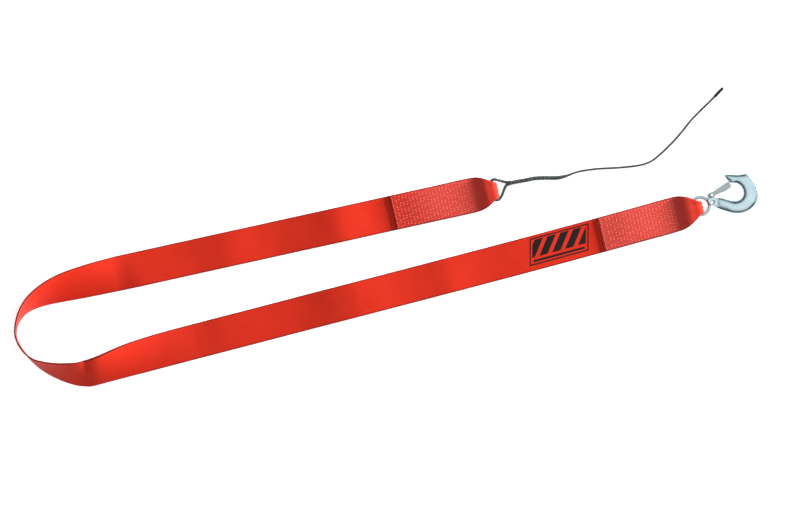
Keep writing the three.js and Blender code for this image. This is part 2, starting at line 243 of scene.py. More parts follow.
def bent_tube(line, sides, radius_at, relief_at):
    """A closed tube round a line. UV: x is the distance along it, y the angle as a length."""
    rings = len(line) - 1
    bm = bmesh.new()
    bmesh.ops.create_cone(bm, cap_ends=True, segments=sides, radius1=1, radius2=1, depth=rings,
                          matrix=Matrix.Translation((0, 0, rings / 2)))
    long_edges = [e for e in bm.edges if abs(e.verts[0].co.z - e.verts[1].co.z) > 0.5]
    bmesh.ops.subdivide_edges(bm, edges=long_edges, cuts=rings - 1)
    travelled = [0]
    for a, b in zip(line, line[1:]):
        travelled.append(travelled[-1] + (b - a).length)
    uv_layer = bm.loops.layers.uv.new("along_rope")
    for face in bm.faces:
        middle = math.atan2(*reversed(face.calc_center_median().xy))
        for loop in face.loops:
            angle = math.atan2(loop.vert.co.y, loop.vert.co.x)
            angle += 2 * math.pi * round((middle - angle) / (2 * math.pi))
            loop[uv_layer].uv = (travelled[round(loop.vert.co.z)], angle * ROPE_RADIUS)
    frames = steady_frames(line)
    for vert in bm.verts:
        ring = round(vert.co.z)
        angle = math.atan2(vert.co.y, vert.co.x)
        up, side = frames[ring]
        reach = radius_at(ring) + relief_at(travelled[ring], angle, ring)
        vert.co = line[ring] + (up * math.cos(angle) + side * math.sin(angle)) * reach
    bmesh.ops.recalc_face_normals(bm, faces=bm.faces)
    return bm


print("steady frames on the rope:", len(steady_frames(rope_line)))

# %% Rope
ROPE_SIDES = 24
STRANDS = 6
BRAID_PITCH = 9 * MM
BRAID_RELIEF = 0.11


def between(a, b, f):
    return a + (b - a) * f


def rope_radius(ring):
    place = rope_places[ring]
    if place <= SPLICE_START - 1:
        return LOOP_RADIUS
    if place >= SPLICE_END + 1:
        return ROPE_RADIUS
    rise = min(place - (SPLICE_START - 1), (SPLICE_END + 1 - place) / 2, 1)
    thin = LOOP_RADIUS if place < SPLICE_START else ROPE_RADIUS
    return between(thin, SPLICE_RADIUS, 3 * rise ** 2 - 2 * rise ** 3)


def braid_relief(distance, angle, ring):
    """How far the strands stand out: whichever family lies on top there."""
    thickness = rope_radius(ring)
    turn = 2 * math.pi * distance / BRAID_PITCH * (ROPE_RADIUS / thickness) ** 0.5
    right = math.cos(STRANDS / 2 * angle + 2 * turn)
    left = math.cos(STRANDS / 2 * angle - 2 * turn)
    return thickness * BRAID_RELIEF * (max(right, left) - 0.6)


rope = to_object(bent_tube(rope_line, ROPE_SIDES, rope_radius, braid_relief), "rope_braid",
                 rope_finish, "strap")
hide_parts("rope")

# %% [markdown]
# ## Sleeve on the rope's tip
#
# A short heat-shrink sleeve stops the tip from fraying. It is turned as a closed profile round its
# own axis, then laid along the last part of the route.

# %% Tip sleeve
SLEEVE_RADIUS = 2.25 * MM
SLEEVE_LENGTH = 17.6 * MM


def shrink_sleeve_material():
    # Shrunk polyolefin tube: dark, half gloss, with soft lengthwise wrinkles.
    material, tree, shader = new_material("shrunk polyolefin sleeve", "#17191b", 0.42)
    place = add_node(tree, "ShaderNodeTexCoord").outputs["Object"]
    wrinkles = add_node(tree, "ShaderNodeTexNoise", {"Vector": place, "Scale": 700, "Detail": 3})
    bump = add_node(tree, "ShaderNodeBump", {"Height": wrinkles, "Distance": 0.15 * MM, "Strength": 0.4})
    plug_in(tree, shader, {"Normal": bump})
    return material


def spun_profile(profile, steps=32):
    """A closed body turned round Z from (radius, height) points that start and end on the axis."""
    bm = bmesh.new()
    verts = [bm.verts.new((radius, 0, height)) for radius, height in profile]
    edges = [bm.edges.new(pair) for pair in zip(verts, verts[1:])]
    bmesh.ops.spin(bm, geom=verts + edges, cent=(0, 0, 0), axis=(0, 0, 1), angle=2 * math.pi,
                   steps=steps, use_merge=True)
    bmesh.ops.remove_doubles(bm, verts=bm.verts, dist=1e-6)
    bmesh.ops.recalc_face_normals(bm, faces=bm.faces)
    return bm


# Down the sleeve from its tip: a rounded nose, faint rings, and a rim that closes on the rope
sleeve_profile = [(0, 0)] + [
    (SLEEVE_RADIUS * (1 - 0.45 * (1 - step / 5) ** 2), 0.25 * MM * step) for step in range(6)]
sleeve_profile += [(SLEEVE_RADIUS * (0.98 + 0.02 * (step % 2)), SLEEVE_LENGTH * (0.15 + 0.13 * step))
                   for step in range(6)]
sleeve_profile += [(SLEEVE_RADIUS * 0.97, SLEEVE_LENGTH), (ROPE_RADIUS * 0.7, SLEEVE_LENGTH),
                   (0, SLEEVE_LENGTH * 0.98)]
SLEEVE_PAST_ROPE = 0.6 * MM
rope_tip = rope_line[-1]
tip_along = (ROPE_ROUTE[-1] - ROPE_ROUTE[-2]).normalized()
sleeve_mesh = spun_profile(sleeve_profile)
lay_back = (-tip_along).to_track_quat("Z", "Y").to_matrix().to_4x4()
bmesh.ops.transform(sleeve_mesh, verts=sleeve_mesh.verts,
                    matrix=Matrix.Translation(rope_tip + tip_along * SLEEVE_PAST_ROPE) @ lay_back)
sleeve = to_object(sleeve_mesh, "tip_sleeve_shrunk", shrink_sleeve_material(), "strap")
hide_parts("tip_sleeve")

# %% [markdown]
# ## The webbing's route
#
# The strap is one long band. Its middle line lies on the floor in two runs, and fold marks lift it in
# low ridges. At the left it turns over: it rises onto one edge, goes round, and comes down on its
# other face with one sharp crease. Each station below gives the middle of the band, the direction
# across it, its width and its thickness.

# %% Stations of the two runs and the turn
STRAP_WIDTH = 50 * MM
STRAP_THICKNESS = 2.4 * MM
UPPER_RUN = [
    (140, 57.3, 0), (80, 58.2, 0), (24, 59.1, 0), (5, 59.4, 0.1), (-10, 59.6, 1), (-30, 59.9, 3.2),
    (-46, 60.1, 4.8), (-56, 60.3, 5.2), (-66, 60.4, 4.7), (-82, 60.7, 3.4), (-100, 61, 2.1),
    (-125, 61.4, 0.8), (-150, 61.8, 0.1), (-172, 62.1, 0.5), (-195, 62.5, 1.7), (-212, 62.8, 2.4),
    (-224, 63, 2.4), (-242, 63.3, 1.6), (-265, 63.6, 0.8), (-290, 64, 0.9), (-315, 64.4, 1.7),
    (-350, 64.9, 2.9)]
LOWER_RUN = [
    (-250, -53.6, 0.8), (-200, -52.6, 0.3), (-160, -51.7, 0.2), (-140, -51.2, 0.6), (-115, -50.6, 2.1),
    (-95, -50.2, 3.9), (-80, -49.9, 5), (-66, -49.6, 5.7), (-55, -49.4, 5.8), (-42, -49.1, 5.2),
    (-25, -48.8, 4.1), (0, -48.2, 2.4), (25, -47.7, 1.6), (50, -47.1, 1.8), (66, -46.7, 2.4),
    (80, -46.4, 2.6), (92, -46.2, 2.1), (110, -45.8, 1), (135, -45.2, 0.1), (200, -43.5, 0.5),
    (250, -42, 0.3), (285, -40.9, 0), (300, -40.4, 0), (350, -38.6, 0)]
# Heading of the outer side and roll, in degrees
TURN_TO_CREASE = [
    (-380, 65.4, 89.4, 7), (-425, 65.2, 91.5, 23), (-462, 63.7, 96, 38), (-486, 59.8, 108, 52),
    (-506, 53.4, 123, 65), (-522.5, 43.6, 140, 78), (-535, 28.6, 160, 87), (-540.2, 12, 178, 90),
    (-536.6, -7, 195, 90), (-526.2, -25, 212, 93), (-511.4, -38.6, 230, 104), (-491.2, -51, 243, 117),
    (-467.6, -60.6, 253, 131), (-454.5, -63.3, 267.7, 139.5)]
TURN_FROM_CREASE = [
    (-454.5, -63.3, 267.7, 139.5), (-438, -61.9, 268.3, 140.5), (-425, -60.8, 269, 144.5),
    (-397.5, -58.5, 270.5, 156), (-370, -57, 271, 166), (-335, -55.6, 271.3, 175),
    (-290, -54.5, 271.3, 180)]


def station(centre, across, width, thickness):
    return centre + across * width / 2, centre - across * width / 2, thickness


def lying_station(x, y, lift):
    centre = Vector((x * MM, y * MM, lift * MM + STRAP_THICKNESS / 2))
    return station(centre, Vector((0, 1, 0)), STRAP_WIDTH, STRAP_THICKNESS)


def turning_station(x, y, heading, roll):
    tilt, heading = math.radians(roll), math.radians(heading)
    rise = abs(math.sin(tilt))
    height = rise * STRAP_WIDTH / 2 + abs(math.cos(tilt)) * STRAP_THICKNESS / 2
    across = Vector((math.cos(heading) * math.cos(tilt), math.sin(heading) * math.cos(tilt), rise))
    return station(Vector((x * MM, y * MM, height)), across, STRAP_WIDTH, STRAP_THICKNESS)


print(len(UPPER_RUN) + len(LOWER_RUN), "stations lie,", len(TURN_TO_CREASE + TURN_FROM_CREASE), "turn")

# %% [markdown]
# A sewn end starts at its cut end, runs over the top of the lap, round the tip of the eye, and back
# underneath. The webbing narrows there, because the ring or the rope gathers it.

# %% Stations of the sewn ends
EYE_THICKNESS = 3.4 * MM
LAYER_GAP = 0.3 * MM


def lap_stations(tip_x, lap, eye, height, crown_width, tip_width, taper, eye_rise, line_y):
    cut_x, eye_x, crown_x = tip_x - lap, tip_x - eye, tip_x - height / 2
    bend = (height - EYE_THICKNESS) / 2
    lap_z = 1.5 * STRAP_THICKNESS + LAYER_GAP

    def at(x, z, width, thickness):
        return station(Vector((x, line_y(x), z)), Vector((0, 1, 0)), width, thickness)

    over, under, tip = [], [], []
    for f in (0.2, 0.4, 0.6, 0.8, 1):
        x = between(eye_x, crown_x, f)
        width = between(STRAP_WIDTH, crown_width, f ** taper)
        thickness = between(STRAP_THICKNESS, EYE_THICKNESS, f)
        rise = min(f / eye_rise, 1)
        z = between(lap_z, height - EYE_THICKNESS / 2, rise ** 2 * (3 - 2 * rise))
        over.append(at(x, z, width, thickness))
        under.insert(0, at(x, thickness / 2, width, thickness))
    for angle in (60, 30, 0, -30, -60):
        a = math.radians(angle)
        width = between(crown_width, tip_width, math.cos(a))
        tip.append(at(crown_x + bend * math.cos(a), height / 2 + bend * math.sin(a), width, EYE_THICKNESS))
    flat = [at(x, lap_z, STRAP_WIDTH, STRAP_THICKNESS) for x in (cut_x, (cut_x + eye_x) / 2, eye_x)]
    return flat + over + tip + under


def line_through(a, b):
    return lambda x: (a[1] + (b[1] - a[1]) * (x / MM - a[0]) / (b[0] - a[0])) * MM


DRUM_TIP, DRUM_LAP, DRUM_EYE, DRUM_HEIGHT = (v * MM for v in (178.4, 154, 34, 12))
HOOK_TIP, HOOK_LAP, HOOK_EYE, HOOK_HEIGHT = (v * MM for v in (457.8, 151, 40, 12.7))
drum_line = line_through(UPPER_RUN[0], UPPER_RUN[2])
hook_run_line = line_through(LOWER_RUN[-2], LOWER_RUN[-1])
hook_eye_y = hook_run_line(HOOK_TIP - HOOK_EYE)


def hook_line(x):
    return min(hook_run_line(x), hook_eye_y + (hook_run_line(x) - hook_eye_y) * 0.9)


drum_lap = lap_stations(DRUM_TIP, DRUM_LAP, DRUM_EYE, DRUM_HEIGHT, 27 * MM, 22 * MM, 1.8,
                        0.7, drum_line)
hook_lap = lap_stations(HOOK_TIP, HOOK_LAP, HOOK_EYE, HOOK_HEIGHT, 21.5 * MM, 15.4 * MM, 2,
                        0.58, hook_line)[::-1]
print("each sewn end has", len(drum_lap), "stations")

# %% [markdown]
# The band is now cut into slices about 3 mm apart. Each slice knows its two edges, its thickness and
# how far along the strap it is, and one function finds any point on or in the webbing from that. The
# stitches use the same function later, so they follow the cloth.

# %% Slices
SLICE = 3 * MM


def keep_above_floor(left, right, thickness):
    across = left - right
    lowest = min(left.z, right.z) - across.xy.length / across.length * thickness / 2
    lift = Vector((0, 0, max(0, -lowest)))
    return left + lift, right + lift, thickness


def slice_band(stations):
    lefts, rights = [s[0] for s in stations], [s[1] for s in stations]
    slices = []
    for i in range(len(stations) - 1):
        reach = max((lefts[i + 1] - lefts[i]).length, (rights[i + 1] - rights[i]).length)
        pieces = max(1, math.ceil(reach / SLICE))
        for k in range(pieces):
            place = i + k / pieces
            thickness = between(stations[i][2], stations[i + 1][2], k / pieces)
            slices.append(keep_above_floor(glide(lefts, place), glide(rights, place), thickness))
    return slices


slices = slice_band(drum_lap + [lying_station(*s) for s in UPPER_RUN]
                    + [turning_station(*s) for s in TURN_TO_CREASE])
crease_slice = len(slices)
slices += slice_band([turning_station(*s) for s in TURN_FROM_CREASE]
                     + [lying_station(*s) for s in LOWER_RUN] + hook_lap)
slices.append(hook_lap[-1])
middles = [(left + right) / 2 for left, right, _ in slices]
lengths = [0]
for a, b in zip(middles, middles[1:]):
    lengths.append(lengths[-1] + (b - a).length)
strap_length = lengths[-1]
print("strap:", round(strap_length, 3), "m in", len(slices), "slices")

# %% [markdown]
# The cloth isn't quite flat. The top layer of a lap puffs up between the sewn parts, the eyes show
# soft lengthwise pleats on their outer side, and the whole band has faint waves from how it was
# rolled. These are small moves along the band's own normal.

# %% Where the eyes are
drum_eye_start, drum_eye_end, hook_eye_start = 0, 0, 0
for i, length in enumerate(lengths):
    if length <= DRUM_LAP - DRUM_EYE:
        drum_eye_start = i
    if length <= DRUM_LAP + DRUM_EYE:
        drum_eye_end = i
    if length <= strap_length - HOOK_LAP - HOOK_EYE:
        hook_eye_start = i
hook_eye_end = next(i for i, length in enumerate(lengths) if length >= strap_length - HOOK_LAP + HOOK_EYE)
print("drum eye: slices", drum_eye_start, "to", drum_eye_end, "hook eye:", hook_eye_start, "to",
      hook_eye_end)

# %% Points on the webbing
WAVER, WAVER_PER_METRE = 0.22 * MM, 28
PLEAT = 0.4 * MM
# How far a lap stands out, and how far from its cut end it does so most
BULGE, BULGE_AT = 1.6 * MM, 40 * MM
# The two faces part beside the crease: how far, and over what lengths that grows and fades
PUFF, PUFF_RISE, PUFF_FALL = 6 * MM, 16 * MM, 42 * MM


def relief(index, across, outer):
    """How far the surface stands out at a slice; across runs from -0.5 to 0.5."""
    length = lengths[index]
    from_end = strap_length - length
    amount = WAVER * noise.noise(Vector((length * WAVER_PER_METRE, across * 1.7, 3 + outer)))
    if drum_eye_start < index < drum_eye_end or hook_eye_start < index < hook_eye_end:
        gathered = 1 - (slices[index][0] - slices[index][1]).length / STRAP_WIDTH
        is_outer = outer > 0 if index < crease_slice else outer < 0
        if is_outer:
            amount += PLEAT * gathered * (math.cos(5 * math.pi * across) - 0.3)
    cut = length if index < crease_slice else from_end
    sewn = DRUM_LAP - DRUM_EYE if index < crease_slice else HOOK_LAP - HOOK_EYE
    if cut < sewn:
        rise = min(cut / BULGE_AT, (sewn - cut) / (sewn - BULGE_AT))
        amount += BULGE * (3 * rise ** 2 - 2 * rise ** 3) * (1 - (2 * across) ** 4)
    past_crease = length - lengths[crease_slice]
    if past_crease >= 0:
        amount += outer * PUFF * (1 - math.exp(-past_crease / PUFF_RISE)) * math.exp(
            -past_crease / PUFF_FALL)
    return amount


def on_strap(index, across, through):
    """A point in the webbing: through runs from -0.5 to 0.5 of its thickness."""
    left, right, thickness = slices[index]
    along = middles[min(index + 1, len(middles) - 1)] - middles[max(index - 1, 0)]
    normal = along.cross(left - right).normalized()
    outer = 1 if through > 0 else -1
    lift = relief(index, across, outer) * outer * min(1, abs(through) * 2)
    return middles[index] + (left - right) * across + normal * (thickness * through + lift)


print("middle of the turn:", [round(v, 3) for v in on_strap(crease_slice, 0, 0)])

# %% [markdown]
# ## Webbing material
#
# Polyester webbing is woven from thick flat warp yarns, so it shows fine ribs, a half-matt shine and
# closely packed selvedges. Real picks are about 1 mm apart, which is less than a pixel from here, so
# the weave is drawn at about twice that. A plain black panel is printed on the lower run: a frame,
# diagonal bars and a line.


# %% Parts of the weave
PICK = 2.1 * MM
WARP = 2.0 * MM


def wave(tree, value, pitch):
    """A sine wave over a value."""
    turns = add_node(tree, "ShaderNodeMath", {0: value, 1: 2 * math.pi / pitch}, operation="MULTIPLY")
    return add_node(tree, "ShaderNodeMath", {0: turns}, operation="SINE")


def melted_ends(tree, along):
    """A cut end is melted shut over two millimetres."""
    ends = [add_node(tree, "ShaderNodeMapRange", {0: along, 1: inner, 2: outer, 3: 0, 4: 0.8})
            for inner, outer in ((2.2 * MM, 0.6 * MM),
                                 (strap_length - 2.2 * MM, strap_length - 0.6 * MM))]
    return add_node(tree, "ShaderNodeMath", dict(enumerate(ends)), operation="MAXIMUM")


def rubbed_laps_and_painted_light(tree, along, yarns):
    """Sewing pulls pale thread ends and rubbed yarns to the surface of each lap. The pale tone is also
    painted light: on the drum lap it is weak near the cut end and fades round the eye, where that lap is
    shaded.
    """
    rise = add_node(tree, "ShaderNodeMapRange", {0: along, 1: 20 * MM, 2: 60 * MM, 3: 0.3, 4: 0.75})
    fade = add_node(tree, "ShaderNodeMapRange", {
        0: along, 1: DRUM_LAP - DRUM_EYE, 2: DRUM_LAP, 3: 1, 4: 0.1})
    on_drum_lap = add_node(tree, "ShaderNodeMath", {0: rise, 1: fade}, operation="MULTIPLY")
    at_drum = add_node(tree, "ShaderNodeMath", {0: along, 1: DRUM_LAP}, operation="LESS_THAN")
    on_hook_lap = add_node(tree, "ShaderNodeMapRange", {
        0: along, 1: strap_length - HOOK_LAP, 2: strap_length - (HOOK_LAP - HOOK_EYE), 3: 0, 4: 0.85})
    both = add_node(tree, "ShaderNodeMath", {0: on_drum_lap, 1: at_drum, 2: on_hook_lap},
                    operation="MULTIPLY_ADD")
    uneven = add_node(tree, "ShaderNodeMath", {0: yarns, 1: 0.6, 2: 0.7}, operation="MULTIPLY_ADD")
    return add_node(tree, "ShaderNodeMath", {0: both, 1: uneven}, operation="MULTIPLY")


def painted_edge_shade(tree, across):
    """A thin line of painted shade along both selvedges. Both faces fold onto the same range first."""
    folded = add_node(tree, "ShaderNodeMath", {0: across, 1: 0.1, 2: -0.1}, operation="WRAP")
    from_middle = add_node(tree, "ShaderNodeMath", {0: folded}, operation="ABSOLUTE")
    return add_node(tree, "ShaderNodeMapRange", {0: from_middle, 1: 22.9 * MM, 2: 24.7 * MM, 3: 0, 4: 0.8})


print("picks", round(PICK / MM, 1), "mm apart, warp yarns", round(WARP / MM, 1), "mm apart")

# %% Printed panel
# The UV map lays the upper face one metre above the lower one
UPPER_FACE = 1.0
PANEL_X = 205.9 * MM
PANEL_WIDTH, PANEL_LOW, PANEL_HIGH = 87.5 * MM, -17 * MM, 21 * MM
FRAME_LINE = 1.9 * MM
BAR_PITCH, BAR_LEAN = 19 * MM, -0.5
PANEL_LEAN, PANEL_SHIFT = -0.24, 5.2 * MM


def length_at(run_x):
    """How far along the strap the given X is, on the lower run."""
    return min((abs(middles[i].x - run_x), lengths[i]) for i in range(crease_slice + 20, len(slices)))[1]


def rectangle(tree, x, y, left, right, low, high):
    """1 inside the rectangle, 0 outside."""
    columns, rows = (
        add_node(tree, "ShaderNodeMath", {0: value, 1: (start + end) / 2, 2: (end - start) / 2},
                 operation="COMPARE") for value, start, end in ((x, left, right), (y, low, high)))
    return add_node(tree, "ShaderNodeMath", {0: columns, 1: rows}, operation="MULTIPLY")


def printed_panel(tree, along, across):
    """1 where the ink is. The panel leans, so its own x is sheared."""
    y = add_node(tree, "ShaderNodeMath", {0: across, 1: UPPER_FACE}, operation="SUBTRACT")
    lean = add_node(tree, "ShaderNodeMath", {
        0: y, 1: PANEL_LEAN, 2: PANEL_SHIFT - length_at(PANEL_X)}, operation="MULTIPLY_ADD")
    x = add_node(tree, "ShaderNodeMath", {0: along, 1: lean}, operation="ADD")
    whole = rectangle(tree, x, y, 0, PANEL_WIDTH, PANEL_LOW, PANEL_HIGH)
    inner = rectangle(tree, x, y, FRAME_LINE, PANEL_WIDTH - FRAME_LINE, PANEL_LOW + FRAME_LINE,
                      PANEL_HIGH - FRAME_LINE)
    rim = add_node(tree, "ShaderNodeMath", {0: whole, 1: inner}, operation="SUBTRACT")
    field = rectangle(tree, x, y, 4 * MM, PANEL_WIDTH - 4 * MM, PANEL_LOW + 11 * MM, PANEL_HIGH - 3 * MM)
    slanted = add_node(tree, "ShaderNodeMath", {0: y, 1: BAR_LEAN, 2: x}, operation="MULTIPLY_ADD")
    bars = add_node(tree, "ShaderNodeMath", {0: wave(tree, slanted, BAR_PITCH), 1: -0.45},
                    operation="GREATER_THAN")
    bars = add_node(tree, "ShaderNodeMath", {0: field, 1: bars}, operation="MULTIPLY")
    rule = rectangle(tree, x, y, 6 * MM, PANEL_WIDTH - 6 * MM, PANEL_LOW + 4 * MM, PANEL_LOW + 7.2 * MM)
    filled = add_node(tree, "ShaderNodeMath", {0: bars, 1: rule}, operation="MAXIMUM")
    return add_node(tree, "ShaderNodeMath", {0: rim, 1: filled}, operation="MAXIMUM", use_clamp=True)


print("the panel starts", round(length_at(PANEL_X), 3), "m along the strap")


# %% Webbing material
def webbing_material():
    # Dyed polyester webbing: a strong orange-red that hardly shines, with a thin line of painted shade
    # along its edges.
    material, tree, shader = new_material("woven polyester webbing", "#c42713", 0.6)
    uv = add_node(tree, "ShaderNodeUVMap", uv_map="along_strap")
    parts = add_node(tree, "ShaderNodeSeparateXYZ", {0: uv})
    along, across = parts.outputs[0], parts.outputs[1]
    weave = add_node(tree, "ShaderNodeMath", {0: wave(tree, along, PICK), 1: wave(tree, across, WARP)},
                     operation="MULTIPLY")
    stretched = add_node(tree, "ShaderNodeMapping", {"Vector": uv, "Scale": (60, 900, 1)})
    yarns = add_node(tree, "ShaderNodeTexNoise", {"Vector": stretched, "Scale": 1, "Detail": 2})
    patches = add_node(tree, "ShaderNodeTexNoise", {"Vector": uv, "Scale": 26, "Detail": 3})
    tone = add_node(tree, "ShaderNodeMath", {0: weave, 1: 0.1, 2: yarns}, operation="MULTIPLY_ADD")
    tone = add_node(tree, "ShaderNodeMath", {0: patches, 1: 0.7, 2: tone}, operation="MULTIPLY_ADD")
    spread = add_node(tree, "ShaderNodeMapRange", {0: tone, 1: 0.5, 2: 1.2, 3: 0, 4: 1})
    base_colour = add_node(tree, "ShaderNodeMix", {0: spread, 6: colour("#be2410"), 7: colour("#ca2a16")},
                    data_type="RGBA")
    # Over the dye go the melted ends, the paler laps (partly painted light), painted shade along the
    # selvedges, and the print.
    for place, tint in ((melted_ends(tree, along), "#5c1a12"), (rubbed_laps_and_painted_light(tree, along, yarns), "#c0463e"),
                        (painted_edge_shade(tree, across), "#451512"),
                        (printed_panel(tree, along, across), "#1c1616")):
        base_colour = add_node(tree, "ShaderNodeMix", {0: place, 6: base_colour, 7: colour(tint)}, data_type="RGBA")
    height = add_node(tree, "ShaderNodeMath", {0: weave, 1: 0.5, 2: yarns}, operation="MULTIPLY_ADD")
    bump = add_node(tree, "ShaderNodeBump", {"Height": height, "Distance": 0.25 * MM, "Strength": 0.45})
    plug_in(tree, shader, {"Specular IOR Level": 0.12, "Base Color": base_colour, "Normal": bump})
    return material


webbing_finish = webbing_material()
print("made", webbing_finish.name, "with", len(webbing_finish.node_tree.nodes), "nodes")

# %% [markdown]
# ## Webbing
#
# The band starts as a long box with one unit of length per slice. Its four long edges are bevelled
# for rounded selvedges and it is cut lengthwise and across, all while it is still straight. Then each
# vertex goes to its place on the route. The UV map keeps the flat cloth's own distances.

# %% Webbing
BAND_COLUMNS = 18
SELVEDGE_ROUNDING = 1.05 * MM


def webbing_mesh():
    last = len(slices) - 1
    bm = bmesh.new()
    bmesh.ops.create_cube(bm, size=1, matrix=Matrix.Diagonal((last, STRAP_WIDTH, STRAP_THICKNESS, 1))
                          @ Matrix.Translation((0.5, 0, 0)))
    long_edges = [e for e in bm.edges if abs(e.verts[0].co.x - e.verts[1].co.x) > 1]
    bmesh.ops.bevel(bm, geom=long_edges, offset=SELVEDGE_ROUNDING, segments=3, profile=0.5,
                    affect="EDGES", material=-1)
    wide = [e for e in bm.edges if abs(e.verts[0].co.y - e.verts[1].co.y) > STRAP_WIDTH / 2]
    bmesh.ops.subdivide_edges(bm, edges=wide, cuts=BAND_COLUMNS - 1, use_grid_fill=True)
    long_edges = [e for e in bm.edges if abs(e.verts[0].co.x - e.verts[1].co.x) > 1]
    bmesh.ops.subdivide_edges(bm, edges=long_edges, cuts=last - 1, use_grid_fill=True)
    uv_layer = bm.loops.layers.uv.new("along_strap")
    for face in bm.faces:
        upper = UPPER_FACE if face.calc_center_median().z > 0 else 0
        for loop in face.loops:
            flat = loop.vert.co
            loop[uv_layer].uv = (lengths[round(flat.x)], flat.y + upper)
    for vert in bm.verts:
        flat = vert.co
        vert.co = on_strap(round(flat.x), flat.y / STRAP_WIDTH, flat.z / STRAP_THICKNESS)
        vert.co.z = max(vert.co.z, 0)
    bmesh.ops.recalc_face_normals(bm, faces=bm.faces)
    return bm


webbing = to_object(webbing_mesh(), "webbing_band", webbing_finish, "strap")
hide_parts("webbing")

# %% [markdown]
# ## Stitching
#
# Each lap is sewn with long wavy rows of thick thread, and a straight bar row beside the cut end. One
# stitch is a small bevelled block, pulled in at its ends where the thread dives into the cloth. It is
# copied along every row and laid on the webbing's own surface.

# %% Thread material
def thread_material():
    # Bonded polyester sewing thread: paler than the webbing, with a soft shine.
    material, tree, shader = new_material("bonded polyester thread", "#e05a4e", 0.6)
    place = add_node(tree, "ShaderNodeTexCoord").outputs["Object"]
    twist = add_node(tree, "ShaderNodeTexNoise", {"Vector": place, "Scale": 900, "Detail": 1})
    base_colour = add_node(tree, "ShaderNodeMix", {0: twist, 6: colour("#c8473c"), 7: colour("#e4685c")},
                    data_type="RGBA")
    bump = add_node(tree, "ShaderNodeBump", {"Height": twist, "Distance": 0.1 * MM, "Strength": 0.5})
    plug_in(tree, shader, {"Specular IOR Level": 0.3, "Base Color": base_colour, "Normal": bump})
    return material


thread_finish = thread_material()
print("made", thread_finish.name)

# %% One stitch
STITCH_LENGTH = 4.4 * MM
STITCH_GAP = 0.5 * MM
STITCH_PITCH = STITCH_LENGTH + STITCH_GAP
STITCH_WIDTH, STITCH_HEIGHT = 1.0 * MM, 0.9 * MM
STITCH_TAPER = 0.62
UP = Vector((0, 0, 1))


def surface_at(length, across, through):
    """A point on the webbing's surface at any distance along the strap."""
    i = next(k for k in range(len(lengths) - 1) if lengths[k + 1] >= length)
    f = (length - lengths[i]) / (lengths[i + 1] - lengths[i])
    a, b = on_strap(i, across, through), on_strap(i + 1, across, through)
    return a.lerp(b, f)


def add_stitch(bm, start, end):
    """One stitch from start to end, on top of the cloth."""
    along = end - start
    side = UP.cross(along).normalized()
    turn = Matrix((along.normalized(), side, along.normalized().cross(side))).transposed().to_4x4()
    size = Matrix.Diagonal((along.length, STITCH_WIDTH, STITCH_HEIGHT, 1))
    made = bmesh.ops.create_cube(bm, size=1, matrix=Matrix.Translation((start + end) / 2) @ turn @ size)
    verts = made["verts"]
    for end_point in (start, end):
        ring = [v for v in verts if (v.co - end_point).length < along.length / 2]
        bmesh.ops.scale(bm, verts=ring, vec=(STITCH_TAPER,) * 3, space=Matrix.Translation(-end_point))


print("a stitch every", round(STITCH_PITCH / MM, 1), "mm")

# %% Stitch rows
ROWS = 10
ROW_SPACING = 4.7 * MM
WAVE_HEIGHT, WAVE_LENGTH = 1.2 * MM, 28 * MM
BAR_ROW_WIDTH = 46 * MM


def sew(bm, first, last, through):
    """Wavy rows between two distances along the strap."""
    steps = int((last - first) / STITCH_PITCH)
    for row in range(ROWS):
        middle = (row - (ROWS - 1) / 2) * ROW_SPACING
        for step in range(steps):
            points = []
            for end in (0, STITCH_LENGTH):
                length = first + step * STITCH_PITCH + end + (row % 2) * STITCH_GAP
                swing = WAVE_HEIGHT * math.cos(2 * math.pi * (length - first) / WAVE_LENGTH)
                across = middle + swing * (1 if row % 2 else -1)
                points.append(surface_at(length, across / STRAP_WIDTH, through))
            add_stitch(bm, *points)


def sew_bar(bm, length, through):
    """A straight row across the strap."""
    count = int(BAR_ROW_WIDTH / STITCH_PITCH)
    for k in range(count):
        a = -BAR_ROW_WIDTH / 2 + k * BAR_ROW_WIDTH / count
        add_stitch(bm, *(surface_at(length, y / STRAP_WIDTH, through) for y in (a, a + STITCH_LENGTH)))


# The webbing lies face up at the drum end, and on its other face at the hook end
stitch_mesh = bmesh.new()
sew(stitch_mesh, 5 * MM, DRUM_LAP - DRUM_EYE - 7 * MM, 0.5)
sew_bar(stitch_mesh, 3 * MM, 0.5)
sew(stitch_mesh, strap_length - (HOOK_LAP - HOOK_EYE), strap_length - 5 * MM, -0.5)
sew_bar(stitch_mesh, strap_length - 3 * MM, -0.5)
long_stitch_edges = [e for e in stitch_mesh.edges if e.calc_length() > 2 * MM]
bmesh.ops.bevel(stitch_mesh, geom=long_stitch_edges, offset=0.24 * MM, segments=2, profile=0.5,
                affect="EDGES", material=-1)
bmesh.ops.recalc_face_normals(stitch_mesh, faces=stitch_mesh.faces)
stitching = to_object(stitch_mesh, "stitching", thread_finish, "strap")

# %% [markdown]
# ## Forged hook
#
# The slip hook is a drop forging: a round ring, a neck, and a thick curved body with soft edges, zinc
# plated with a pale blue passivation. The ring is spun, and the body is an outline, extruded and
# bevelled. Joined by a voxel remesh and smoothed, they get the soft fillets of a forging.

# %% Hook frame
RING_CENTRE = Vector((0.4542, -0.03292, 0.0062))
HOOK_ANGLE = math.radians(4.6)
HOOK_PLACE = Matrix.Translation(RING_CENTRE) @ Matrix.Rotation(HOOK_ANGLE, 4, "Z")
RING_TUBE = 4.9 * MM
RING_RADIUS = (21.2 * MM + RING_TUBE) / 2
BODY_THICKNESS = 12.4 * MM
NECK_THICKNESS = 7 * MM
ROUNDING = 8.5 * MM
BODY_START = 20.5
PIVOT = Vector((18.6 * MM, 9.6 * MM, 0))
print("ring radius:", round(RING_RADIUS, 4), "m")


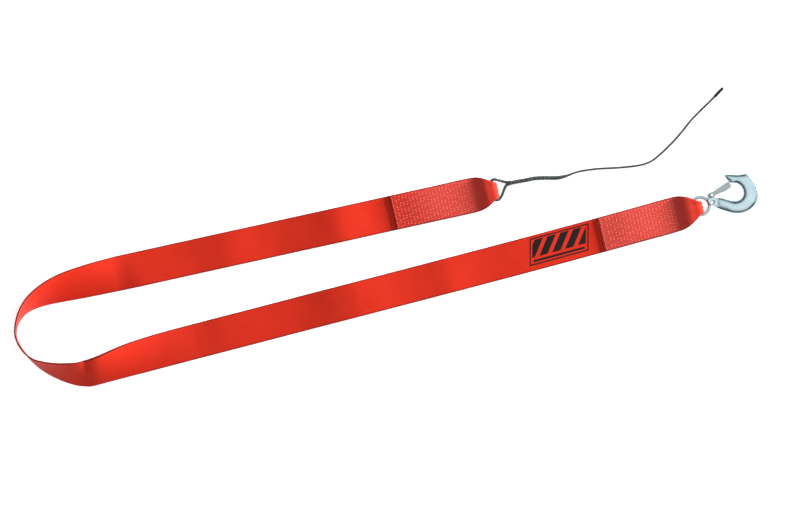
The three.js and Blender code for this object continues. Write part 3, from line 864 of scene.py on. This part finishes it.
# %% Hook material
def zinc_material():
    # Zinc plate with a blue passivation over a forged surface: a pale blue-grey metal.
    material, tree, shader = new_material("blue zinc plated forging", "#b4ccd2", 0.3, 1)
    place = add_node(tree, "ShaderNodeTexCoord").outputs["Object"]
    cloud = add_node(tree, "ShaderNodeTexNoise", {"Vector": place, "Scale": 60, "Detail": 4})
    tinted = add_node(tree, "ShaderNodeMix", {0: cloud, 6: colour("#a3c3cf"), 7: colour("#d3e6ea")},
                      data_type="RGBA")
    rough = add_node(tree, "ShaderNodeMapRange", {0: cloud, 1: 0.3, 2: 0.7, 3: 0.24, 4: 0.4})
    scale = add_node(tree, "ShaderNodeTexNoise", {"Vector": place, "Scale": 420, "Detail": 3})
    bump = add_node(tree, "ShaderNodeBump", {"Height": scale, "Distance": 0.12 * MM, "Strength": 0.35})
    plug_in(tree, shader, {"Base Color": tinted, "Roughness": rough, "Normal": bump})
    return material


zinc_finish = zinc_material()
print("made", zinc_finish.name)


# %% Hook outline
def smooth_run(points, spans):
    """Evenly placed points on a curve through the given ones, in millimetres."""
    knots = [Vector((*p, 0)) for p in points]
    return [glide(knots, (len(knots) - 1) * k / spans) for k in range(spans + 1)]


def arc(centre, radius, start, end, spans):
    angles = [math.radians(between(start, end, k / spans)) for k in range(spans + 1)]
    return [Vector((centre[0] + radius * math.cos(a), centre[1] + radius * math.sin(a), 0))
            for a in angles]


def hook_outline():
    back = [Vector((21.4, -9.6, 0))] + smooth_run([(27, -14.4), (33.3, -19), (42, -24.8)], 6)
    bowl = arc((57.5, 1.5), 30, -105, 50, 40)
    arm = smooth_run([(70.5, 25.2), (64, 26.6), (55, 29.8), (45.4, 32)], 12)
    inner = smooth_run([
        (49.4, 21.2), (53, 17.6), (59, 15.6), (64, 9.8), (65.4, 2.5), (63.4, -4.6), (58.2, -8.6),
        (51.5, -9.2), (43, -5.2), (35.6, -0.2), (29.6, 2.8), (24, 3.8)], 44)
    return [p * MM for p in back + bowl + arm + inner]


def plate(bm, outline, thickness, rounding, segments):
    """An outline given a thickness about the middle plane, its rims bevelled."""
    start = set(bm.verts)
    verts = [bm.verts.new((p.x, p.y, -thickness / 2)) for p in outline]
    face = bm.faces.new(verts)
    raised = bmesh.ops.extrude_face_region(bm, geom=[face])
    top = [v for v in raised["geom"] if isinstance(v, bmesh.types.BMVert)]
    bmesh.ops.translate(bm, verts=top, vec=(0, 0, thickness))
    made = set(bm.verts) - start
    rims = [e for e in bm.edges if set(e.verts) <= made
            and abs(e.verts[0].co.z - e.verts[1].co.z) < 1e-6]
    bmesh.ops.bevel(bm, geom=rims, offset=rounding, segments=segments, profile=0.5, affect="EDGES",
                    material=-1, clamp_overlap=True)
    return bm


hook_points = hook_outline()
print("hook outline has", len(hook_points), "points")


# %% Parts of the hook
def spin_ring(bm):
    """The hook's eye, spun round the origin."""
    circle = bmesh.ops.create_circle(bm, segments=20, radius=RING_TUBE / 2, cap_ends=False,
                                     matrix=Matrix.Translation((RING_RADIUS, 0, 0))
                                     @ Matrix.Rotation(math.pi / 2, 4, "X"))
    edges = [e for e in bm.edges if set(e.verts) <= set(circle["verts"])]
    bmesh.ops.spin(bm, geom=circle["verts"] + edges, cent=(0, 0, 0), axis=(0, 0, 1),
                   angle=2 * math.pi, steps=72, use_merge=True)


def remeshed(bm, voxel):
    """The same body as one skin, by Blender's voxel remesh."""
    mesh = bpy.data.meshes.new("rough")
    bmesh.ops.recalc_face_normals(bm, faces=bm.faces)
    bm.to_mesh(mesh)
    bm.free()
    rough = bpy.data.objects.new("rough", mesh)
    bpy.context.scene.collection.objects.link(rough)
    skin = rough.modifiers.new("skin", "REMESH")
    skin.mode = "VOXEL"
    skin.voxel_size = voxel
    whole = bmesh.new()
    bpy.context.view_layer.update()
    whole.from_object(rough, bpy.context.evaluated_depsgraph_get())
    bpy.data.objects.remove(rough)
    return whole


def distance_to_outline(points, outline):
    """How far each point is from the closed outline, seen from above."""
    flat = np.array([p.xy for p in outline])
    places = np.array([p.xy for p in points])
    nearest = np.full(len(places), np.inf)
    for start, end in zip(flat, np.roll(flat, -1, axis=0)):
        along = end - start
        part = np.clip((places - start) @ along / (along @ along), 0, 1)
        gap = places - start - part[:, None] * along
        nearest = np.minimum(nearest, np.hypot(gap[:, 0], gap[:, 1]))
    return nearest


def round_section(bm):
    """Gives the flat plate the oval section of a forging, thinner at the neck and at the tip."""
    gaps = distance_to_outline([v.co for v in bm.verts], hook_points)
    for vert, gap in zip(bm.verts, gaps):
        x, y = vert.co.x / MM, vert.co.y / MM
        if x < BODY_START:
            continue
        towards_rim = max(0.0, 1 - min(gap / ROUNDING, 1)) ** 2
        oval = between(0.3, 1, math.sqrt(1 - towards_rim))
        neck = between(0.62, 1, min(max((x - 22) / 16, 0), 1))
        tip = between(1, 0.7, min(max((66 - x) / 20, 0), 1)) if y > 20 else 1
        limit = BODY_THICKNESS / 2 * oval * neck * tip
        vert.co.z = max(-limit, min(limit, vert.co.z))


print("forging tools are ready")

# %% Hook
DIMPLE = Vector((19.8 * MM, -0.2 * MM))
DIMPLE_RADIUS, DIMPLE_DEPTH, DIMPLE_SLOPE = 2.3 * MM, 0.9 * MM, 0.7 * MM
NECK_OUTLINE = [(12, 5.4), (12.9, -2.6), (18, -5), (22.5, -9), (30, -12), (30, 1), (23.4, 6), (21, 8),
                (15.4, 8)]
BOSS_RADIUS, BOSS_THICKNESS = 4.2, 4.8 * MM


def hook_mesh():
    bm = bmesh.new()
    body = remeshed(plate(bmesh.new(), hook_points, BODY_THICKNESS, 2.4 * MM, 3), 0.6 * MM)
    round_section(body)
    body_mesh = bpy.data.meshes.new("body")
    body.to_mesh(body_mesh)
    body.free()
    bm.from_mesh(body_mesh)
    spin_ring(bm)
    plate(bm, [Vector((x, y, 0)) * MM for x, y in NECK_OUTLINE], NECK_THICKNESS, 1.2 * MM, 2)
    boss = arc(PIVOT / MM, BOSS_RADIUS, 0, 345, 23)
    plate(bm, [p * MM for p in boss], BOSS_THICKNESS, 0.4 * MM, 1)
    skin = remeshed(bm, 0.55 * MM)
    for _ in range(5):
        bmesh.ops.smooth_vert(skin, verts=skin.verts, factor=0.5, use_axis_x=True, use_axis_y=True,
                              use_axis_z=True)
    for vert in skin.verts:
        reach = (vert.co.xy - DIMPLE).length
        if vert.co.z > 2.6 * MM and reach < DIMPLE_RADIUS:
            vert.co.z -= DIMPLE_DEPTH * min(1, (DIMPLE_RADIUS - reach) / DIMPLE_SLOPE)
    bmesh.ops.transform(skin, matrix=HOOK_PLACE, verts=skin.verts)
    return skin


hook = to_object(hook_mesh(), "hook_forging", zinc_finish, "hook")
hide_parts("hook_body")

# %% [markdown]
# ## Latch, rivet and spring
#
# The latch is pressed from sheet steel: two cheeks and the strip that joins them along the outer
# side. It starts as one open shell, the fold is bevelled, and solidify gives it the sheet's
# thickness. The rivet is turned, with a low dome on each cheek. The coil spring inside keeps its CAD
# shape.

# %% Latch material
def latch_material():
    # Pressed steel sheet with a thin zinc plate: greyer and rougher than the forging.
    material, tree, shader = new_material("pressed zinc plated sheet", "#9aa3a6", 0.38, 1)
    place = add_node(tree, "ShaderNodeTexCoord").outputs["Object"]
    stretched = add_node(tree, "ShaderNodeMapping", {"Vector": place, "Scale": (120, 900, 120)})
    grain = add_node(tree, "ShaderNodeTexNoise", {"Vector": stretched, "Scale": 1, "Detail": 3})
    tinted = add_node(tree, "ShaderNodeMix", {0: grain, 6: colour("#868f93"), 7: colour("#b5bdc0")},
                      data_type="RGBA")
    bump = add_node(tree, "ShaderNodeBump", {"Height": grain, "Distance": 0.05 * MM, "Strength": 0.4})
    plug_in(tree, shader, {"Base Color": tinted, "Normal": bump})
    return material


latch_finish = latch_material()
print("made", latch_finish.name)

# %% Latch
LATCH_ANGLE = math.radians(15)
LATCH_LENGTH = 33
LATCH_HALF = 4.85 * MM
LATCH_SHEET = 1 * MM
LATCH_FOLD = 1.3 * MM
LATCH_EAR = 4.2
LATCH_PLACE = HOOK_PLACE @ Matrix.Translation(PIVOT) @ Matrix.Rotation(LATCH_ANGLE, 4, "Z")


def latch_mesh():
    ear = arc((0, 0), LATCH_EAR, 130, 285, 14)
    rest = [(LATCH_LENGTH * 0.36, -4.1), (LATCH_LENGTH * 0.62, -6.1), (LATCH_LENGTH * 0.96, -5.6),
            (LATCH_LENGTH, 0.7), (LATCH_LENGTH - 1.4, 2.7), (5.6, 2.7), (2, 3.8)]
    cheek = [p * MM for p in ear] + [Vector((x, y, 0)) * MM for x, y in rest]
    bm = bmesh.new()
    verts = [bm.verts.new((p.x, p.y, LATCH_HALF)) for p in cheek]
    bm.faces.new(verts)
    fold = bm.edges.get((verts[-3], verts[-2]))
    dropped = bmesh.ops.extrude_edge_only(bm, edges=[fold])["geom"]
    bmesh.ops.translate(bm, verts=[v for v in dropped if isinstance(v, bmesh.types.BMVert)],
                        vec=(0, 0, -2 * LATCH_HALF))
    lower = [bm.verts.new((p.x, p.y, -LATCH_HALF)) for p in cheek]
    bm.faces.new(lower[::-1])
    bmesh.ops.remove_doubles(bm, verts=bm.verts, dist=1e-6)
    folds = [e for e in bm.edges if len(e.link_faces) == 2]
    bmesh.ops.bevel(bm, geom=folds, offset=LATCH_FOLD, segments=4, profile=0.5, affect="EDGES",
                    material=-1)
    bmesh.ops.recalc_face_normals(bm, faces=bm.faces)
    cheek_face = max(bm.faces, key=lambda f: f.calc_center_median().z)
    if cheek_face.normal.z < 0:
        bmesh.ops.reverse_faces(bm, faces=bm.faces)
    bmesh.ops.solidify(bm, geom=bm.faces, thickness=LATCH_SHEET)
    bmesh.ops.recalc_face_normals(bm, faces=bm.faces)
    bmesh.ops.transform(bm, matrix=LATCH_PLACE, verts=bm.verts)
    return bm


latch = to_object(latch_mesh(), "latch_channel", latch_finish, "latch", smooth=False)
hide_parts("latch")
rounding = latch.modifiers.new("deburred edges", "BEVEL")
rounding.width = 0.22 * MM
rounding.segments = 2
rounding.limit_method = "ANGLE"

# %% Rivet
HEAD_START = LATCH_HALF + 0.1 * MM
HEAD_RADIUS, HEAD_HEIGHT, SHANK_RADIUS = 2.9 * MM, 1.0 * MM, 1.6 * MM
dome = [(HEAD_RADIUS * math.cos(math.radians(a)), HEAD_HEIGHT * math.sin(math.radians(a)))
        for a in range(0, 91, 15)]
rivet_profile = [(r, -HEAD_START - h) for r, h in reversed(dome)] + [(SHANK_RADIUS, -HEAD_START)]
rivet_profile += [(SHANK_RADIUS, HEAD_START)] + [(r, HEAD_START + h) for r, h in dome]
rivet_mesh = spun_profile(rivet_profile, 28)
bmesh.ops.transform(rivet_mesh, matrix=HOOK_PLACE @ Matrix.Translation(PIVOT), verts=rivet_mesh.verts)
rivet = to_object(rivet_mesh, "rivet_domed", latch_finish, "hook")
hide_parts("latch_rivet")

# %% Spring
# Hard drawn steel wire: a darker grey metal with a fine mottle.
spring_finish, spring_tree, spring_shader = new_material("drawn spring wire", "#8f9598", 0.35, 1)
spring_place = add_node(spring_tree, "ShaderNodeTexCoord").outputs["Object"]
drawn = add_node(spring_tree, "ShaderNodeTexNoise", {"Vector": spring_place, "Scale": 500, "Detail": 2})
wire_colour = add_node(spring_tree, "ShaderNodeMix", {
    0: drawn, 6: colour("#6f7578"), 7: colour("#a7adb0")}, data_type="RGBA")
plug_in(spring_tree, spring_shader, {"Base Color": wire_colour})
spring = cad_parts["latch_spring"]
spring.data.materials.clear()
spring.data.materials.append(spring_finish)
print("the spring keeps its CAD mesh")

# %% [markdown]
# ## Floor and light
#
# A white floor that glows a little, a surround, one wide lamp low on the right and a weak one
# opposite. The low lamp gives the webbing its light and dark bands: a slope that faces it is bright,
# and one that turns away is dark.

# %% Floor
FLOOR_HALF, FLOOR_GLOW = 3, 0.6
floor_mesh = bmesh.new()
bmesh.ops.create_grid(floor_mesh, x_segments=1, y_segments=1, size=FLOOR_HALF)
floor_finish, floor_tree, floor_shader = new_material("lit white studio floor", "#f4f4f4", 0.9)
plug_in(floor_tree, floor_shader, {"Emission Color": colour("#ffffff"), "Emission Strength": FLOOR_GLOW})
floor_data = bpy.data.meshes.new("floor")
floor_mesh.to_mesh(floor_data)
floor_mesh.free()
floor_data.materials.append(floor_finish)
floor = bpy.data.objects.new("floor", floor_data)
bpy.context.scene.collection.objects.link(floor)
print("floor:", 2 * FLOOR_HALF, "m wide")

# %% Surround
HORIZON, OVERHEAD = 0.09, 1.15
# The surround is bright overhead and dim near the horizon, like a room with one large soft box on
# the ceiling: flat metal looks white from above, and its turned-down sides look dark.
world = bpy.data.worlds.new("studio")
world.use_nodes = True
sky = world.node_tree
direction = add_node(sky, "ShaderNodeTexCoord").outputs["Generated"]
height = add_node(sky, "ShaderNodeSeparateXYZ", {0: direction}).outputs[2]
overhead = add_node(sky, "ShaderNodeMapRange", {0: height, 1: 0.72, 2: 0.9, 3: 0, 4: 1})
sky_colour = add_node(sky, "ShaderNodeMix", {
    0: overhead, 6: [v * HORIZON for v in colour("#9fb6c4")],
    7: [v * OVERHEAD for v in colour("#ffffff")]}, data_type="RGBA")
plug_in(sky, sky.nodes["Background"], {0: sky_colour})
bpy.context.scene.world = world
bpy.context.scene.view_settings.view_transform = "Standard"
print("surround:", HORIZON, "at the horizon and", OVERHEAD, "overhead")

# %% Lamps
LAMP_DISTANCE, LAMP_SIZE = 6, 2.0
LAMP_TURN, LAMP_RISE, LAMP_POWER = 12, 13.5, 1230
FILL_TURN, FILL_RISE, FILL_SHARE = -115, 40, 0.05


def soft_lamp(name, turn, rise, power):
    """A square lamp that looks at the middle of the strap from a heading and an elevation."""
    data = bpy.data.lights.new(name, "AREA")
    data.shape = "SQUARE"
    data.size = LAMP_SIZE
    data.energy = power
    lamp = bpy.data.objects.new(name, data)
    turn, rise = math.radians(turn), math.radians(rise)
    lamp.location = Vector((math.cos(turn) * math.cos(rise), math.sin(turn) * math.cos(rise),
                            math.sin(rise))) * LAMP_DISTANCE
    lamp.rotation_euler = (-lamp.location).to_track_quat("-Z", "Y").to_euler()
    bpy.context.scene.collection.objects.link(lamp)
    print(name, "of", round(power), "W")
    return lamp


soft_lamp("low lamp", LAMP_TURN, LAMP_RISE, LAMP_POWER)
fill = soft_lamp("fill lamp", FILL_TURN, FILL_RISE, LAMP_POWER * FILL_SHARE)
# The fill lightens shadows but shows no streak in the metal.
fill.visible_glossy = False
